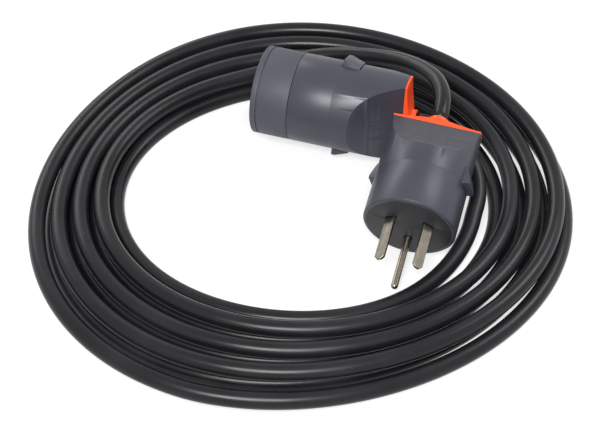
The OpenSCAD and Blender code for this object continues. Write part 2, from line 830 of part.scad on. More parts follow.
plug_sleeve();
plug_face();
plug_blade_left();
plug_blade_right();
plug_ground_pin();
plug_shell();
plug_cap();
plug_catch_a();
plug_catch_b();
plug_grip_lower();
plug_grip_upper();
plug_grip_screws();
plug_terminal_screws();
plug_jacket();
plug_core_left();
plug_core_right();
plug_core_ground();
socket_sleeve();
locking_ring();
socket_face();
socket_contact_left();
socket_contact_right();
socket_contact_ground();
socket_shell();
socket_cap();
socket_catch_a();
socket_catch_b();
socket_grip_lower();
socket_grip_upper();
socket_grip_screws();
socket_terminal_screws();
socket_jacket();
socket_core_left();
socket_core_right();
socket_core_ground();
cord_coil();
cord_plug_lead();
cord_socket_lead();
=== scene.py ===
"""Looks for a shore power cord: black cable in a free coil, a plug and a ring connector with orange caps.

Lengths are in metres, +Z up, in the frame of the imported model. Each end is modelled at the origin with
its seam at z = 0 and its face towards +Z, and then its place goes into its mesh.
"""

from contextlib import contextmanager
from math import asin, cos, pi, radians, sin, sqrt

import bpy
from bpy.props import FloatProperty, FloatVectorProperty, IntProperty, PointerProperty
from mathutils import Matrix, Vector


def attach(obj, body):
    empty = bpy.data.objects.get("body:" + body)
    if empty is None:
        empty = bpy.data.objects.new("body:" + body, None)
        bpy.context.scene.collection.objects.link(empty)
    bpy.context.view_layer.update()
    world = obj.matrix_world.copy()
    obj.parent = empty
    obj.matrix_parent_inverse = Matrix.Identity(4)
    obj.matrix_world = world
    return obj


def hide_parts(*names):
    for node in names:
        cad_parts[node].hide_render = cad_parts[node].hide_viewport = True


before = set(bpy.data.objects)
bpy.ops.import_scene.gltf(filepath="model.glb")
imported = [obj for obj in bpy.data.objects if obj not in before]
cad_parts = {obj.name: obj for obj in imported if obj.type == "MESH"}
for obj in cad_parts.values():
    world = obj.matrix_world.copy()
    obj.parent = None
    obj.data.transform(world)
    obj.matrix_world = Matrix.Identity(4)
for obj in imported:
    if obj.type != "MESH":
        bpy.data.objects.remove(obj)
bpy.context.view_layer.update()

bl_info = {
    "name": "Shore power cord",
    "version": (1, 0, 0),
    "blender": (4, 5, 0),
    "location": "View3D > Sidebar > Shore Cord",
    "description": "Models and finishes a shore power cord round its packed CAD frame",
    "category": "Add Mesh",
}

MM = 0.001
ROUND_STEPS = 144
SMALL_STEPS = 48
MERGE = 0.01 * MM
FOOT_MARGIN = 2 * MM
BACKGROUND = 1.0
PLUG_AT = Vector((71.1, -16.5, 34.3)) * MM
PLUG_TILT, PLUG_HEADING, PLUG_ROLL = 12, 254.1, 87
CONNECTOR_AT = (23.5 * MM, 62 * MM)
CONNECTOR_HEADING, CONNECTOR_ROLL = 162.5, 7.5
CONNECTOR_LEAD_MM = ((89, 39, 30.5), (99.7, 29, 26.4), (106.5, 16.2, 21.6), (108.7, 5.8, 18.2))
PLUG_LEAD_MM = (
    (-14.2, 118.4, 18.4), (1.3, 120.9, 22.2), (20.4, 119.5, 26), (38.3, 113.5, 30.5),
    (54.3, 105.5, 35), (67.8, 95.5, 39.5), (78.7, 82.6, 43.5), (85.8, 68.5, 46.6), (88.2, 54.5, 47.7),
)


# ---- properties ----


def linear(code):
    """The linear colour of an sRGB hex value."""
    parts = [int(code[i : i + 2], 16) / 255 for i in (1, 3, 5)]
    return [p / 12.92 if p <= 0.04045 else ((p + 0.055) / 1.055) ** 2.4 for p in parts]


def length(name, mm, text=""):
    """A length given in millimetres and kept in metres."""
    return FloatProperty(name=name, description=text, default=mm * MM, unit="LENGTH", precision=5)


def angle(name, degrees, text):
    """An angle given in degrees and kept in radians."""
    return FloatProperty(name=name, description=text, default=radians(degrees), subtype="ANGLE")


def number(name, value, text):
    """A plain number."""
    return FloatProperty(name=name, description=text, default=value)


def colour(name, code, text):
    """A colour given as an sRGB hex value."""
    return FloatVectorProperty(
        name=name, description=text, default=linear(code), subtype="COLOR", size=3, min=0, max=1
    )


class CableSettings(bpy.types.PropertyGroup):
    """Sizes of the cable and of its coil."""

    diameter: length("Diameter", 10.6, "Outside diameter of the jacket")
    sides: IntProperty(name="Sides", description="Points round the cable", default=20, min=8)
    step: length("Step", 4.5, "Distance between two rings of the cable's surface")
    inner_r: length("Inner radius", 104.2, "Mean radius of the opening, to the innermost turn's axis")
    inner_oval: length("Oval", 6, "Amount by which the opening is wider across than from front to back")
    inner_front: length("Opening to front", 4.8, "Shift of the opening's edge towards the front")
    inner_right: length("Opening to right", 1.1, "Shift of the opening's edge to the right")
    inner_three: length("Three-sided", 1.2, "Slight three-sided shape of the opening")
    outer_right: length("Outside to right", 1.6, "Shift of the outer turns to the right")
    outer_front: length("Outside to front", 8.3, "Shift of the outer turns to the front")
    outer_oval: length("Outer oval", 1.2, "Amount by which the outside is wider across")
    outer_slant: length("Outer slant", 4.2, "Amount by which it is longer from front left to back right")
    outer_three: length("Outer three", 3.3, "Slight three-sided shape of the outside")
    outer_corner: angle("Outer corner", -15, "Direction of one of that shape's three corners")
    coil_right: length("Coil to right", -2, "Shift of the whole coil to the right")
    coil_back: length("Coil to back", 9.5, "Shift of the whole coil to the back")
    turns_low: number("Turns below", 4.25, "Turns in the bottom layer, which runs outwards")
    turn_gap: length("Turn gap", 3.52, "Mean space between neighbouring turns of the bottom layer")
    turns_top: number("Turns above", 3.375, "Turns in the top layer, which runs back inwards")
    top_end: number("Top end", 0.206, "How far out the top layer ends, from the innermost turn")
    start: angle("Start", -20, "Direction in which the cable enters the coil")
    layer_gap: length("Layer gap", 0.5, "Space between the two layers of the coil")
    start_rise: length("Start rise", 7, "Height of the coil's first point above the bottom layer")
    settle: number("Settle", 0.12, "Part of a turn in which the cable comes down")
    climb: number("Climb", 0.5, "Turns over which the cable climbs to the top layer")
    bed: number("Bed", 0.4, "Height of the bottom layer's axis, in diameters")


class EndSettings(bpy.types.PropertyGroup):
    """Sizes that the plug and the connector share."""

    body_d: length("Body diameter", 57, "Outside diameter of both ends")
    wall: length("Wall", 2.4, "Wall of the moulded housings")
    plug_sleeve_l: length("Plug sleeve", 29.5, "Length of the plug's front sleeve")
    con_sleeve_l: length("Connector sleeve", 27, "Length of the connector's middle sleeve")
    tail_l: length("Rear shell", 43.5, "Length of the rear shell")
    scoop_start: length("Scoop start", 12.8, "Distance from the seam to the finger scoop")
    tail_t: length("Tail thickness", 15.2, "Thickness of the shell's flat end")
    scoop_wall: length("Scoop wall", 1.3)
    scoop_power: number("Scoop power", 0.65, "Exponent of the scoop's profile")
    rib_l: length("Rib length", 9)
    rib_w: length("Rib width", 0.8)
    rib_h: length("Rib height", 0.22, "Height of a grip rib above the scoop")
    rib_outer: length("Outer ribs", 10.1, "Distance of the outer ribs from the middle")
    rib_pitch: length("Rib spacing", 2.7, "Spacing of the three middle ribs")
    rib_from: length("Rib start", 12, "Distance from the scoop's start to the ribs")
    cap_rim: length("Cap rim", 1.2, "Height of the cap's flat rim")
    cap_flare: length("Cap flare", 3.2, "Height of the cap's flare")
    cap_collar: length("Cap collar", 2.8, "Length of the collar round the cable")
    collar_wall: length("Collar wall", 1.3, "Wall of the collar round the cable")
    catch_w: length("Catch width", 14)
    catch_l: length("Catch length", 11.5)
    catch_h: length("Catch height", 3.4, "Height of a snap catch above the housing")
    catch_flat: length("Catch flat", 2.6, "Length of the flat top of a snap catch")
    catch_turn: angle("Catch angle", 17, "Angle from the shell's narrow edges to the catches")
    catch_foot: length("Catch foot", 1.6, "Thickness of a catch's foot")
    fit_gap: length("Fit gap", 0.15, "Clearance between pieces that fit into each other")
    slot_gap: length("Slot gap", 0.3)
    edge: length("Edge", 0.35, "Radius of a moulded edge")
    sharp_edge: length("Fine edge", 0.2, "Radius of a fine edge")
    rest_gap: length("Rest gap", 0.3, "Height of the connector's lowest point")


class PinSettings(bpy.types.PropertyGroup):
    """Sizes of the pins and of the two inserts."""

    pitch: length("Blade spacing", 22.6, "Distance between the two flat blades")
    up: length("Blades up", 6, "Height of the blades above the plug's axis")
    ground_down: length("Round pin down", 12.5, "Distance of the round pin below the axis")
    blade_turn: angle("Blade angle", 34, "Angle of each blade to the line through both")
    blade_w: length("Blade width", 6.5)
    blade_t: length("Blade thickness", 1.8)
    blade_out: length("Blade length", 30, "Length of a blade in front of the plug")
    ground_d: length("Round pin diameter", 4.4)
    ground_out: length("Round pin length", 36.5, "Length of the round pin in front of the plug")
    tip_chamfer: length("Tip chamfer", 1.8, "Chamfer at a blade's tip")
    pin_turn: angle("Pin angle", 0, "Angle from the shell's narrow edges to the line of the blades")
    insert_l: length("Insert thickness", 12)
    mouth_l: length("Mouth depth", 12)
    socket_front: length("Socket front", 5.6, "Thickness of the socket's solid front")
    contact_l: length("Contact length", 20)
    socket_gap: length("Socket gap", 0.2, "Clearance of a pin in its socket")
    recess: length("Recess", 0.7, "Width of the recess round a pin's foot")
    recess_deep: length("Recess depth", 1.6, "Depth of the recess round a pin's foot")


class RingSettings(bpy.types.PropertyGroup):
    """Sizes of the locking ring and of the nose that it turns on."""

    ring_l: length("Ring length", 24.4)
    wall: length("Ring wall", 3.2)
    gap: length("Ring gap", 0.4, "Running clearance of the ring")
    groove_from: length("Groove place", 4.5, "Distance from the ring's front to its groove")
    groove_w: length("Groove width", 0.9)
    groove_t: length("Groove depth", 0.9)
    bead_h: length("Bead height", 0.9, "Height of the bead that keeps the ring on")
    bead_l: length("Bead length", 3)
    bead_from: length("Bead place", 8, "Distance from the ring's rear to the bead")
    nose_back: length("Nose back", 4.2, "Distance of the nose's edge behind the ring's front")


class FinishSettings(bpy.types.PropertyGroup):
    """Colours of the materials."""

    cable: colour("Cable", "#1a1a1d", "Extruded jacket")
    housing: colour("Housing", "#343640", "Moulded sleeves, shells and catches")
    ring: colour("Ring", "#3e4049", "Spark-eroded locking ring")
    insert: colour("Insert", "#222225", "Pressed inserts that hold pins and contacts")
    cap: colour("Cap", "#f8501c", "Moulded end caps")
    nickel: colour("Nickel", "#948c80", "Plated pins")
    brass: colour("Brass", "#b9984f", "Contacts and terminal screws")
    steel: colour("Steel", "#9a9ca0", "Screws of the cord grips")
    nylon: colour("Nylon", "#242426", "Cord grips")


class StageSettings(bpy.types.PropertyGroup):
    """Camera, lamps and floor."""

    lens: number("Lens", 94.18, "Focal length in millimetres on a sensor 36 mm wide")
    camera_at: FloatVectorProperty(
        name="Camera place", description="Where the camera stands", unit="LENGTH",
        default=(-1.95 * MM, -699.7 * MM, 699.4 * MM),
    )
    camera_tilt: angle("Camera tilt", 44.8, "Turn of the camera up from straight down")
    ambient: number("Ambient", 0.3, "Strength of the even light")
    key: number("Key", 20.0, "Power of the large lamp in front, in watts")
    rim: number("Rim", 7.0, "Power of the lamp behind to the right, in watts")
    back: number("Back", 6.0, "Power of the long lamp behind to the left, in watts")


GROUPS = {
    "cord_cable": CableSettings,
    "cord_end": EndSettings,
    "cord_pins": PinSettings,
    "cord_ring": RingSettings,
    "cord_finish": FinishSettings,
    "cord_stage": StageSettings,
}


# ---- modelling helpers ----


def deselect():
    """Leaves nothing selected."""
    bpy.ops.object.select_all(action="DESELECT")


def activate(obj):
    """Makes obj the only selected object and the active one."""
    deselect()
    obj.select_set(True)
    bpy.context.view_layer.objects.active = obj


def outline_object(name, points):
    """A closed outline through these points, made from a circle with as many corners."""
    deselect()
    bpy.ops.mesh.primitive_circle_add(vertices=len(points), radius=1, fill_type="NOTHING")
    obj = bpy.context.active_object
    obj.name = name
    for corner, place in zip(obj.data.vertices, points):
        corner.co = place
    return obj


@contextmanager
def editing(obj):
    """Edit mode with all of the object selected."""
    activate(obj)
    bpy.ops.object.mode_set(mode="EDIT")
    bpy.ops.mesh.select_all(action="SELECT")
    yield
    bpy.ops.object.mode_set(mode="OBJECT")


def tidy_mesh(obj):
    """Merges what meets, drops faces without area and turns the normals outwards."""
    with editing(obj):
        bpy.ops.mesh.remove_doubles(threshold=MERGE)
        bpy.ops.mesh.dissolve_degenerate(threshold=MERGE)
        bpy.ops.mesh.select_all(action="SELECT")
        bpy.ops.mesh.normals_make_consistent(inside=False)


def spun(name, outline, steps=ROUND_STEPS):
    """A solid turned about Z from a closed outline of (radius, height) points."""
    obj = outline_object(name, [(r, 0, z) for r, z in outline])
    with editing(obj):
        bpy.ops.mesh.spin(steps=steps, angle=2 * pi, center=(0, 0, 0), axis=(0, 0, 1))
    tidy_mesh(obj)
    return obj


def extruded(name, points, push):
    """A prism: the closed outline through these points, filled and pushed out by a vector."""
    obj = outline_object(name, points)
    with editing(obj):
        bpy.ops.mesh.edge_face_add()
        bpy.ops.mesh.extrude_region_move(TRANSFORM_OT_translate={"value": push})
    tidy_mesh(obj)
    return obj


def block(name, low, high):
    """A box between two corners."""
    corners = [(low[0], low[1]), (high[0], low[1]), (high[0], high[1]), (low[0], high[1])]
    return extruded(name, [(x, y, low[2]) for x, y in corners], (0, 0, high[2] - low[2]))


def turned(obj, matrix):
    """The object again, with a turn or a shift put into its mesh."""
    obj.data.transform(matrix)
    if matrix.determinant() < 0:
        obj.data.flip_normals()
    return obj


def modify(obj, kind, **settings):
    """Adds a modifier with these settings and applies it."""
    activate(obj)
    made = obj.modifiers.new(kind.title(), kind)
    for key, value in settings.items():
        setattr(made, key, value)
    bpy.ops.object.modifier_apply(modifier=made.name)


def combine(obj, others, operation="DIFFERENCE"):
    """Cuts the others from obj, joins them to it or keeps what they share, and removes them."""
    for other in others:
        modify(obj, "BOOLEAN", object=other, operation=operation, solver="EXACT")
        bpy.data.objects.remove(other)
    tidy_mesh(obj)


def rounded(obj, width, segments=2, limit=28, beyond=7):
    """Rounds edges that turn by more than the limit, in degrees, and shades smooth a little beyond."""
    modify(
        obj, "BEVEL", width=width, segments=segments, limit_method="ANGLE",
        angle_limit=radians(limit), use_clamp_overlap=True, harden_normals=False,
    )
    tidy_mesh(obj)
    activate(obj)
    bpy.ops.object.shade_smooth_by_angle(angle=radians(limit + beyond))


def place(model, node, kind, matrix, body, slot, material):
    """A copy of a model that stands for a CAD node, with its place in its own mesh."""
    piece = bpy.data.objects.new(f"{node}_{kind}", model.data.copy())
    bpy.context.scene.collection.objects.link(piece)
    piece.data.transform(matrix)
    piece.data.materials.clear()
    piece.data.materials.append(material)
    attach(piece, body)
    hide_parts(node)
    return piece


def discard(*models):
    """Removes models whose copies are in place."""
    for model in dict.fromkeys(models):
        bpy.data.objects.remove(model)


# ---- places of the two ends ----


def end_place(at, tilt, heading, roll):
    """The place of an end: its tilt down at the face, its heading and its roll, in degrees."""
    return (
        Matrix.Translation(at)
        @ Matrix.Rotation(radians(heading), 4, "Z")
        @ Matrix.Rotation(radians(90 + tilt), 4, "Y")
        @ Matrix.Rotation(radians(roll), 4, "Z")
    )


def plug_place():
    """Place of the plug."""
    return end_place(PLUG_AT, PLUG_TILT, PLUG_HEADING, PLUG_ROLL)


def connector_place(e):
    """Place of the connector, which lies on its lower catch."""
    roll = radians(CONNECTOR_ROLL)
    side, top = e.catch_w / 2, e.body_d / 2 + e.catch_h
    reach = top * cos(roll + e.catch_turn) + side * sin(roll + e.catch_turn)
    return end_place(Vector((*CONNECTOR_AT, e.rest_gap + reach)), 0, CONNECTOR_HEADING, CONNECTOR_ROLL)


def place_on_ends(e, plug, socket, part, kind, slot, material):
    """Copies of two models, or of one twice, for this part of the plug and of the connector."""
    place(plug, f"plug_{part}", kind, plug_place(), "cord", slot, material)
    place(socket, f"socket_{part}", kind, connector_place(e), "cord", slot, material)
    discard(plug, socket)


def cap_height(e):
    """Height of an end cap."""
    return e.cap_rim + e.cap_flare + e.cap_collar


def exit_of(matrix, e):
    """Where the cable leaves an end, and the direction in which it does."""
    leaves = matrix @ Vector((0, 0, -(e.tail_l + cap_height(e))))
    rear = (matrix.to_3x3() @ Vector((0, 0, -1))).normalized()
    return leaves, rear


class Maker:
    """An operator that makes its pieces from the scene's settings"""

    def execute(self, context):
        self.make(context.scene)
        return {"FINISHED"}


# ---- the cable ----


def smooth(x):
    """Eases from 0 to 1."""
    x = max(0, min(1, x))
    return x * x * (3 - 2 * x)


def coil_point(c, turn):
    """The cable's axis after so many turns of the coil."""
    a = c.start - 2 * pi * turn
    inside = c.inner_r + c.inner_oval * cos(2 * a) - c.inner_front * sin(a)
    inside += c.inner_right * cos(a) - c.inner_three * cos(3 * a)
    outside = c.inner_r + c.turns_low * (c.diameter + c.turn_gap)
    outside += c.outer_oval * cos(2 * a) + c.outer_slant * sin(2 * a)
    outside += c.outer_right * cos(a) - c.outer_front * sin(a)
    outside += c.outer_three * cos(3 * (a - c.outer_corner))
    share = turn / c.turns_low
    if turn > c.turns_low:
        share = 1 - (1 - c.top_end) * (turn - c.turns_low) / c.turns_top
    r = inside + share * (outside - inside)
    rise = c.diameter + c.layer_gap
    z = c.bed * c.diameter + rise * smooth((turn - c.turns_low + c.climb / 2) / c.climb)
    if turn < c.settle:
        z += c.start_rise * (1 - turn / c.settle) ** 2
    return Vector((r * cos(a) + c.coil_right, r * sin(a) + c.coil_back, z))


def millimetres(points):
    """Points given in millimetres."""
    return [Vector(p) * MM for p in points]


def cable_route(c, e):
    """Points that the cable's axis passes: out of the connector, round the coil and into the plug."""
    turns, per_turn, little, d = c.turns_low + c.turns_top, 48, 0.01, c.diameter
    coil = [coil_point(c, i / per_turn) for i in range(round(turns * per_turn) + 1)]
    begin = coil_point(c, -d / (2 * pi * c.inner_r))
    into = (coil[0] - begin).normalized()
    out = (coil[-1] - coil_point(c, turns - little)).normalized()
    leaves, rear = exit_of(connector_place(e), e)
    first = [leaves, leaves + d / 2 * rear, *millimetres(CONNECTOR_LEAD_MM), begin - d * into, begin]
    enters, rear = exit_of(plug_place(), e)
    last = [coil[-1] + d * out, coil[-1] + 2 * d * out, *millimetres(PLUG_LEAD_MM)]
    last += [enters + d / 2 * rear, enters]
    return first + coil + last


def smooth_line(points, step):
    """Points about a step apart on one smooth curve through all the given ones."""
    line = []
    ends = [2 * points[0] - points[1], *points, 2 * points[-1] - points[-2]]
    for a, b, c, d in zip(ends, ends[1:], ends[2:], ends[3:]):
        before, here, after = (b - a).length, (c - b).length, (d - c).length
        slope_b = ((b - a) / before * here + (c - b) / here * before) / (before + here)
        slope_c = ((c - b) / here * after + (d - c) / after * here) / (here + after)
        count = max(1, round(here / step))
        for i in range(count):
            t = i / count
            s = smooth(t)
            swing = slope_b * (t * (1 - t) ** 2) - slope_c * (t * t * (1 - t))
            line.append(b * (1 - s) + c * s + swing * here)
    return [*line, points[-1]]


def cable_mesh(line, radius, sides):
    """A closed tube round a line. Its map holds the distance along and the distance round, in metres."""
    up = Vector((0, 0, 1))
    points, along = [], [0]
    for i, centre in enumerate(line):
        ahead = (line[min(i + 1, len(line) - 1)] - line[max(i - 1, 0)]).normalized()
        across = ahead.cross(up).normalized()
        over = across.cross(ahead)
        for k in range(sides):
            a = 2 * pi * k / sides
            p = centre + radius * (cos(a) * across + sin(a) * over)
            points.append((p.x, p.y, max(p.z, 0)))
        if i:
            along.append(along[-1] + (centre - line[i - 1]).length)
    faces = [
        (i * sides + k, i * sides + (k + 1) % sides, (i + 1) * sides + (k + 1) % sides, (i + 1) * sides + k)
        for i in range(len(line) - 1)
        for k in range(sides)
    ]
    last = (len(line) - 1) * sides
    mesh = bpy.data.meshes.new("cable")
    mesh.from_pydata(points, [], [*faces, tuple(range(sides))[::-1], tuple(range(last, last + sides))])
    uv = mesh.uv_layers.new(name="along")
    girth = 2 * pi * radius / sides
    for n in range(len(faces)):
        i, k = divmod(n, sides)
        corners = ((i, k), (i, k + 1), (i + 1, k + 1), (i + 1, k))
        for loop, (ring, side) in zip(mesh.polygons[n].loop_indices, corners):
            uv.data[loop].uv = (along[ring], side * girth)
    mesh.polygons.foreach_set("use_smooth", [True] * len(mesh.polygons))
    return mesh


class CORD_OT_cable(Maker, bpy.types.Operator):
    """Lays the cable from the connector through the coil to the plug"""

    bl_idname = "shore_cord.cable"
    bl_label = "Cable"

    def make(self, scene):
        c, e = scene.cord_cable, scene.cord_end
        line = smooth_line(cable_route(c, e), c.step)
        cable = bpy.data.objects.new("cable", cable_mesh(line, c.diameter / 2, c.sides))
        scene.collection.objects.link(cable)
        tidy_mesh(cable)
        cable.data.materials.append(extruded_pvc(scene.cord_finish))
        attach(cable, "cord")
        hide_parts("cord_coil", "cord_plug_lead", "cord_socket_lead")


# ---- housings ----


class CORD_OT_sleeves(Maker, bpy.types.Operator):
    """Turns the plug's front sleeve, and the connector's sleeve with its nose"""

    bl_idname = "shore_cord.sleeves"
    bl_label = "Front sleeves"

    def make(self, scene):
        e, p, ring = scene.cord_end, scene.cord_pins, scene.cord_ring
        outside, inside = e.body_d / 2, e.body_d / 2 - e.wall
        skin = moulded_housing(scene.cord_finish)
        ledge, ledge_l, spigot_l, spigot_t, chamfer = 1.8 * MM, 3 * MM, 5 * MM, 2 * MM, 0.8 * MM
        seat = e.plug_sleeve_l - p.insert_l
        spigot_out, spigot_in = inside - e.fit_gap, inside - e.fit_gap - spigot_t
        plug = spun("plug_sleeve_model", [
            (spigot_in, -spigot_l), (spigot_out, -spigot_l), (spigot_out, 0), (outside, 0),
            (outside, e.plug_sleeve_l - chamfer), (outside - chamfer, e.plug_sleeve_l),
            (inside, e.plug_sleeve_l), (inside, seat), (inside - ledge, seat),
            (inside - ledge, seat - ledge_l), (spigot_in, seat - ledge_l),
        ])
        nose = outside - ring.wall - ring.gap
        bore = nose - e.wall
        front = e.con_sleeve_l + ring.ring_l + ring.gap
        edge, top = front - ring.nose_back, front - p.mouth_l
        seat = top - p.socket_front - p.contact_l
        bead = e.con_sleeve_l + ring.bead_from
        socket = spun("socket_sleeve_model", [
            (bore, -spigot_l), (spigot_out, -spigot_l), (spigot_out, 0), (outside, 0),
            (outside, e.con_sleeve_l), (nose, e.con_sleeve_l), (nose, bead),
            (nose + ring.bead_h, bead), (nose + ring.bead_h, bead + ring.bead_l),
            (nose, bead + ring.bead_l), (nose, edge), (bore, edge), (bore, seat),
            (bore - ledge, seat), (bore - ledge, seat - ledge_l), (bore, seat - ledge_l),
        ])
        for model in (plug, socket):
            combine(model, catch_windows(e, spigot_l))
            rounded(model, e.sharp_edge, segments=2)
        place_on_ends(e, plug, socket, "sleeve", "moulding", "grey_shell", skin)


def foot_numbers(e):
    """Half the width, the top and the bottom of a catch's foot."""
    side = e.catch_w / 2 + FOOT_MARGIN
    top = sqrt((e.body_d / 2 - e.wall - e.slot_gap) ** 2 - side**2)
    return side, top, top - e.catch_foot


def both_catches(e):
    """The turns of the two catches round an end."""
    return [Matrix.Rotation(e.catch_turn + half, 4, "Z") for half in (0, pi)]


def catch_windows(e, deep):
    """Cutters that clear a sleeve's spigot round the catches' feet."""
    side, top, bottom = foot_numbers(e)
    side += e.slot_gap
    room = 2.6 * MM
    low = (bottom - room, -side, -deep - MM)
    high = (e.body_d, side, e.slot_gap / 2)
    return [turned(block("window", low, high), m) for m in both_catches(e)]


def scoop_size(e):
    """Greatest depth and length of a finger scoop."""
    return e.body_d / 2 - e.tail_t / 2, e.tail_l - e.scoop_start


def scoop_depth(e, s):
    """Depth of the finger scoop at a distance behind its start."""
    full, run = scoop_size(e)
    return 0 if s <= 0 else full * (s / run) ** e.scoop_power


def scoop_stations(e):
    """Distances behind the scoop's start at which its edge crosses the facets of the round body."""
    full, run = scoop_size(e)
    facet, first, past = 2 * pi / ROUND_STEPS, 4, 1.03
    last = int((pi / 2 - asin(e.tail_t / e.body_d)) / facet)
    cuts = [e.body_d / 2 * (1 - cos(k * facet)) for k in range(first, last + 1)]
    return [0] + [run * (cut / full) ** (1 / e.scoop_power) for cut in cuts] + [run * past]


def scoop_cutters(e, inset, name):
    """Prisms that cut both finger scoops, or the scoops' inner side, which lies inset by a wall."""
    far, wide, lower, behind = e.body_d, e.body_d, 2 * MM, 6 * MM
    curve = [
        (-wide, e.body_d / 2 - scoop_depth(e, s) - inset, -(e.scoop_start + s - inset))
        for s in scoop_stations(e)
    ]
    end = curve[-1]
    curve.append((-wide, end[1] - lower, end[2] - behind))
    curve += [(-wide, far, curve[-1][2]), (-wide, far, curve[0][2])]
    cutters = [extruded(f"{name}_{n}", curve, (2 * wide, 0, 0)) for n in (1, 2)]
    turned(cutters[1], Matrix.Rotation(pi, 4, "Z"))
    return cutters


def rib(e, x):
    """One grip rib, which follows the scoop's curve."""
    steps, sunk, edge = 8, e.scoop_wall / 2, e.rib_h * 0.6
    stations = [e.rib_from + e.rib_l * i / steps for i in range(steps + 1)]
    skin = [(e.body_d / 2 - scoop_depth(e, s), -(e.scoop_start + s)) for s in stations]
    low = [(x - e.rib_w / 2, y - sunk, z) for y, z in skin]
    high = [(x - e.rib_w / 2, y + e.rib_h, z) for y, z in reversed(skin)]
    made = extruded("rib", low + high, (e.rib_w, 0, 0))
    rounded(made, edge, segments=2, limit=40)
    return made


def shell_model(e):
    """The rear shell: a hollow round body with two finger scoops, ribs and slots for the catches."""
    outside, inside = e.body_d / 2, e.body_d / 2 - e.wall
    shell = spun("shell_model", [(0, 0), (outside, 0), (outside, -e.tail_l), (0, -e.tail_l)])
    combine(shell, scoop_cutters(e, 0, "scoop"))
    hollow = spun("hollow", [(0, MM), (inside, MM), (inside, -e.tail_l - MM), (0, -e.tail_l - MM)])
    combine(hollow, scoop_cutters(e, e.scoop_wall, "inner_scoop"))
    side, top, bottom = foot_numbers(e)
    slot_side, slot_l = e.catch_w / 2 + e.slot_gap, e.catch_l + 2 * e.slot_gap
    slots = [
        turned(block("slot", (bottom, -slot_side, -slot_l), (e.body_d, slot_side, MM)), m)
        for m in both_catches(e)
    ]
    combine(shell, [hollow, *slots])
    rounded(shell, e.edge, segments=2)
    ribs = []
    for x in (-e.rib_outer, -e.rib_pitch, 0, e.rib_pitch, e.rib_outer):
        made = rib(e, x)
        across = bpy.data.objects.new("rib_across", made.data.copy())
        bpy.context.scene.collection.objects.link(across)
        ribs += [made, turned(across, Matrix.Rotation(pi, 4, "Z"))]
    activate(shell)
    for made in ribs:
        made.select_set(True)
    bpy.ops.object.join()
    return shell


class CORD_OT_shells(Maker, bpy.types.Operator):
    """Models the rear shell with its finger scoops once and puts it on both ends"""

    bl_idname = "shore_cord.shells"
    bl_label = "Rear shells"

    def make(self, scene):
        e = scene.cord_end
        skin = moulded_housing(scene.cord_finish)
        model = shell_model(e)
        place_on_ends(e, model, model, "shell", "moulding", "grey_shell", skin)


class CORD_OT_catches(Maker, bpy.types.Operator):
    """Models a snap catch once and puts two on each end"""

    bl_idname = "shore_cord.catches"
    bl_label = "Snap catches"

    def make(self, scene):
        e = scene.cord_end
        skin = moulded_housing(scene.cord_finish)
        body, top, side = e.body_d / 2, e.body_d / 2 + e.catch_h, e.catch_w / 2
        foot_side, foot_top, foot_bottom = foot_numbers(e)
        wedge = [
            (foot_bottom, -e.slot_gap), (top, -e.slot_gap), (top, -e.slot_gap - e.catch_flat),
            (body + e.slot_gap, -e.catch_l), (foot_bottom, -e.catch_l),
        ]
        model = extruded("catch_model", [(x, -side, z) for x, z in wedge], (0, 2 * side, 0))
        foot_l = e.catch_l + 2 * e.slot_gap + FOOT_MARGIN
        low, high = (foot_bottom, -foot_side, -foot_l), (foot_top, foot_side, -e.slot_gap)
        combine(model, [block("foot", low, high)], "UNION")
        rounded(model, e.edge, segments=3)
        upper, lower = both_catches(e)
        for node, matrix, body_name in (
            ("plug_catch_a", plug_place() @ upper, "plug_catch_right"),
            ("plug_catch_b", plug_place() @ lower, "plug_catch_left"),
            ("socket_catch_a", connector_place(e) @ upper, "socket_catch_lower"),
            ("socket_catch_b", connector_place(e) @ lower, "socket_catch_upper"),
        ):
            place(model, node, "moulding", matrix, body_name, "grey_shell", skin)
        discard(model)


class CORD_OT_caps(Maker, bpy.types.Operator):
    """Models the orange end cap with its flare and collar once and puts it on both ends"""

    bl_idname = "shore_cord.caps"
    bl_label = "End caps"

    def make(self, scene):
        e, c = scene.cord_end, scene.cord_cable
        bore, out = c.diameter / 2 + e.fit_gap, e.body_d / 2
        collar = bore + e.collar_wall
        rim, top = -e.tail_l - e.cap_rim, -(e.tail_l + cap_height(e))
        steps, bend, crowding = 14, 1.6, 1.4
        shares = [(i / steps) ** crowding for i in range(steps + 1)]
        flare = [(collar + (out - collar) * q, rim - e.cap_flare * (1 - q) ** bend) for q in shares]
        outline = [(bore, -e.tail_l), (bore, top), (collar, top), *flare, (out, -e.tail_l)]
        model = spun("cap_model", outline)
        half = e.tail_t / 2
        slab = block("slab", (-e.body_d, -half, top - MM), (e.body_d, half, -e.tail_l + MM))
        collar_zone = spun("collar_zone", [(0, top - MM), (collar, top - MM), (collar, rim), (0, rim)])
        combine(slab, [collar_zone], "UNION")
        combine(model, [slab], "INTERSECT")
        rounded(model, e.edge, segments=3)
        skin = moulded_cap(scene.cord_finish)
        place_on_ends(e, model, model, "cap", "moulding", "orange_cap", skin)


